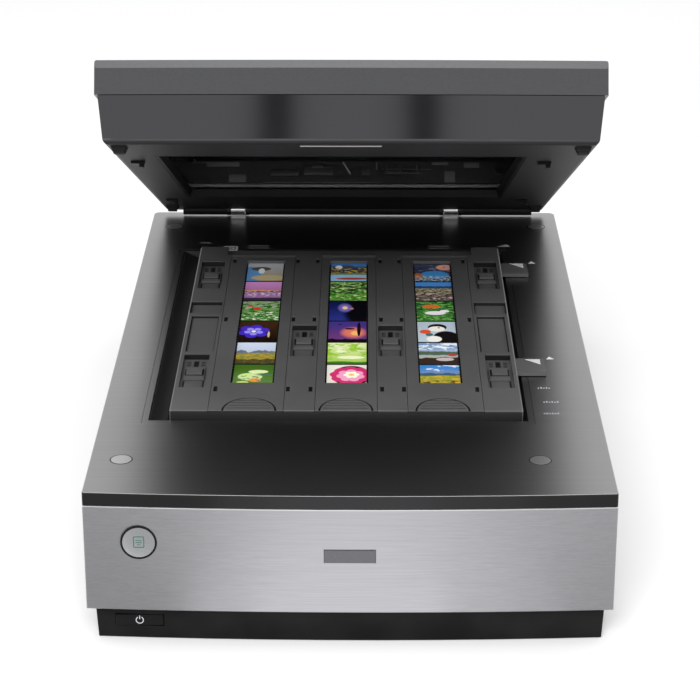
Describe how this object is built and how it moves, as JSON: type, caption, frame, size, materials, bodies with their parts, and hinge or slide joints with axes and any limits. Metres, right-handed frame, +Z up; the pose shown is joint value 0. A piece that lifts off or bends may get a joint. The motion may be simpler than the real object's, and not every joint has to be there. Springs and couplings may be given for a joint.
{
  "type": "flatbed scanner",
  "caption": "Flatbed scanner with a deep hinged lid standing open, a glass bed, a film holder with hinged strip covers, a brushed front panel, a round scan button and a power button.",
  "frame": {"origin": "on the table, under the middle of the whole scanner's bounding box with the lid as stored", "axes": "+Z up, +Y towards the hinges at the rear, +X to the right as seen from the front"},
  "size_m": [0.308, 0.5278, 0.3211],
  "materials": {
    "case_dark": "satin charcoal paint with a metallic sheen",
    "lid_dark": "dark grey semi-gloss moulding",
    "brushed_front": "horizontally brushed",
    "black_plastic": "black, fine grain",
    "inner_black": "black, moulded",
    "holder_plastic": "dark grey, fine grain",
    "film": "developed slide film",
    "button_metal": "satin",
    "dark_ring": "dark bright ring",
    "cap_plastic": "satin grey",
    "rubber": "matte",
    "belt_rubber": "ribbed",
    "clear_glass": "clear, polished",
    "lid_window": "smoked, polished",
    "white_plastic": "white",
    "steel": "satin",
    "chrome": "polished",
    "mirror": "front-silvered",
    "circuit_board": "solder mask",
    "ribbon": "flat foil cable"
  },
  "bodies": {
    "body": {"base_tray": "black_plastic", "base_screws": "steel", "rubber_feet": "rubber", "upper_case": "case_dark", "front_panel": "brushed_front", "badge_plate": "button_metal", "screw_caps": "cap_plastic", "bed_frame": "black_plastic", "scan_glass": "clear_glass", "calibration_strip": "white_plastic", "button_bezel": "dark_ring", "main_board": "circuit_board", "port_plate": "steel", "usb_port": "steel", "power_inlet": "black_plastic", "guide_shaft": "steel", "guide_rail": "steel", "drive_motor": "steel", "drive_belt": "belt_rubber", "belt_tensioner": "steel", "tension_spring": "steel", "hinge_sockets": "black_plastic"},
    "scan_button": {"scan_button": "button_metal"},
    "power_button": {"power_button": "black_plastic"},
    "transport_lock": {"transport_lock": "black_plastic"},
    "drive_pulley": {"drive_pulley": "white_plastic"},
    "idler_pulley": {"idler_pulley": "white_plastic"},
    "scan_carriage": {"carriage_housing": "inner_black", "led_lamp": "white_plastic", "mirrors": "mirror", "lens_pair": "steel", "sensor_board": "circuit_board", "ribbon_cable": "ribbon"},
    "hinge_posts": {"hinge_posts": "chrome"},
    "lid": {"lid_shell": "lid_dark", "lid_cap": "lid_dark", "lid_underframe": "black_plastic", "lid_glass": "lid_window", "lid_bumpers": "rubber", "hinge_brackets": "steel", "hinge_pins": "chrome", "lid_guide_shaft": "steel", "lid_motor": "steel", "lid_belt": "belt_rubber", "idler_bracket": "inner_black"},
    "lid_drive_pulley": {"lid_drive_pulley": "white_plastic"},
    "lid_idler_pulley": {"lid_idler_pulley": "white_plastic"},
    "lamp_carriage": {"lamp_carriage": "inner_black", "lamp_diffuser": "white_plastic"},
    "film_holder": {"holder_frame": "holder_plastic", "film_strips": "film"},
    "film_cover_left": {"film_cover_left": "holder_plastic"},
    "film_cover_centre": {"film_cover_centre": "holder_plastic"},
    "film_cover_right": {"film_cover_right": "holder_plastic"},
    "adjuster_front_left": {"adjuster_front_left": "holder_plastic"},
    "adjuster_front_right": {"adjuster_front_right": "holder_plastic"},
    "adjuster_middle_left": {"adjuster_middle_left": "holder_plastic"},
    "adjuster_middle_right": {"adjuster_middle_right": "holder_plastic"},
    "adjuster_rear_left": {"adjuster_rear_left": "holder_plastic"},
    "adjuster_rear_right": {"adjuster_rear_right": "holder_plastic"}
  },
  "joints": [
    {"name": "lid_lift", "type": "slide", "parent": "body", "child": "hinge_posts", "axis": [0, 0, 1], "range_m": [0, 0.05]},
    {"name": "lid_hinge", "type": "hinge", "parent": "hinge_posts", "child": "lid", "pos_m": [0, 0.23671, 0.103], "axis": [-1, 0, 0], "range_deg": [-23.6, 51.4]},
    {"name": "film_holder_lift", "type": "slide", "parent": "body", "child": "film_holder", "axis": [0, 0, 1], "range_m": [0, 0.03]},
    {"name": "scan_button_press", "type": "slide", "parent": "body", "child": "scan_button", "axis": [0, 1, 0], "range_m": [0, 0.002], "stiffness_N_per_m": 400},
    {"name": "power_button_press", "type": "slide", "parent": "body", "child": "power_button", "axis": [0, 1, 0], "range_m": [0, 0.0015], "stiffness_N_per_m": 400},
    {"name": "transport_lock_slide", "type": "slide", "parent": "body", "child": "transport_lock", "axis": [1, 0, 0], "range_m": [0, 0.008]},
    {"name": "carriage_slide", "type": "slide", "parent": "body", "child": "scan_carriage", "axis": [0, -1, 0], "range_m": [0, 0.305], "deforming": ["ribbon_cable"]},
    {"name": "drive_pulley_spin", "type": "hinge", "parent": "body", "child": "drive_pulley", "pos_m": [-0.105, 0.21621, 0.028], "axis": [0, 0, 1], "continuous": true},
    {"name": "idler_pulley_spin", "type": "hinge", "parent": "body", "child": "idler_pulley", "pos_m": [-0.105, -0.22479, 0.028], "axis": [0, 0, 1], "continuous": true},
    {"name": "lamp_slide", "type": "slide", "parent": "lid", "child": "lamp_carriage", "axis": [0, -0.9164, 0.4003], "range_m": [0, 0.25]},
    {"name": "lid_drive_pulley_spin", "type": "hinge", "parent": "lid", "child": "lid_drive_pulley", "pos_m": [-0.128, 0.22163, 0.14342], "axis": [0, 0.4003, 0.9164], "continuous": true},
    {"name": "lid_idler_pulley_spin", "type": "hinge", "parent": "lid", "child": "lid_idler_pulley", "pos_m": [-0.128, -0.11926, 0.29235], "axis": [0, 0.4003, 0.9164], "continuous": true},
    {"name": "film_cover_left_hinge", "type": "hinge", "parent": "film_holder", "child": "film_cover_left", "pos_m": [-0.063, 0.13051, 0.1014], "axis": [-1, 0, 0], "range_deg": [0, 28]},
    {"name": "film_cover_centre_hinge", "type": "hinge", "parent": "film_holder", "child": "film_cover_centre", "pos_m": [-0.0032, 0.13051, 0.1014], "axis": [-1, 0, 0], "range_deg": [0, 28]},
    {"name": "film_cover_right_hinge", "type": "hinge", "parent": "film_holder", "child": "film_cover_right", "pos_m": [0.0566, 0.13051, 0.1014], "axis": [-1, 0, 0], "range_deg": [0, 28]},
    {"name": "adjuster_front_left_slide", "type": "slide", "parent": "film_holder", "child": "adjuster_front_left", "axis": [0, -1, 0], "range_m": [-0.008, 0.016]},
    {"name": "adjuster_front_right_slide", "type": "slide", "parent": "film_holder", "child": "adjuster_front_right", "axis": [0, -1, 0], "range_m": [-0.008, 0.016]},
    {"name": "adjuster_middle_left_slide", "type": "slide", "parent": "film_holder", "child": "adjuster_middle_left", "axis": [0, -1, 0], "range_m": [-0.008, 0.016]},
    {"name": "adjuster_middle_right_slide", "type": "slide", "parent": "film_holder", "child": "adjuster_middle_right", "axis": [0, -1, 0], "range_m": [-0.008, 0.016]},
    {"name": "adjuster_rear_left_slide", "type": "slide", "parent": "film_holder", "child": "adjuster_rear_left", "axis": [0, -1, 0], "range_m": [-0.008, 0.016]},
    {"name": "adjuster_rear_right_slide", "type": "slide", "parent": "film_holder", "child": "adjuster_rear_right", "axis": [0, -1, 0], "range_m": [-0.008, 0.016]}
  ],
  "couplings": [
    {"joint": "drive_pulley_spin", "follows": "carriage_slide", "rad_per_m": 112.36},
    {"joint": "idler_pulley_spin", "follows": "carriage_slide", "rad_per_m": 112.36},
    {"joint": "lid_drive_pulley_spin", "follows": "lamp_slide", "rad_per_m": 144.93},
    {"joint": "lid_idler_pulley_spin", "follows": "lamp_slide", "rad_per_m": 144.93}
  ]
}
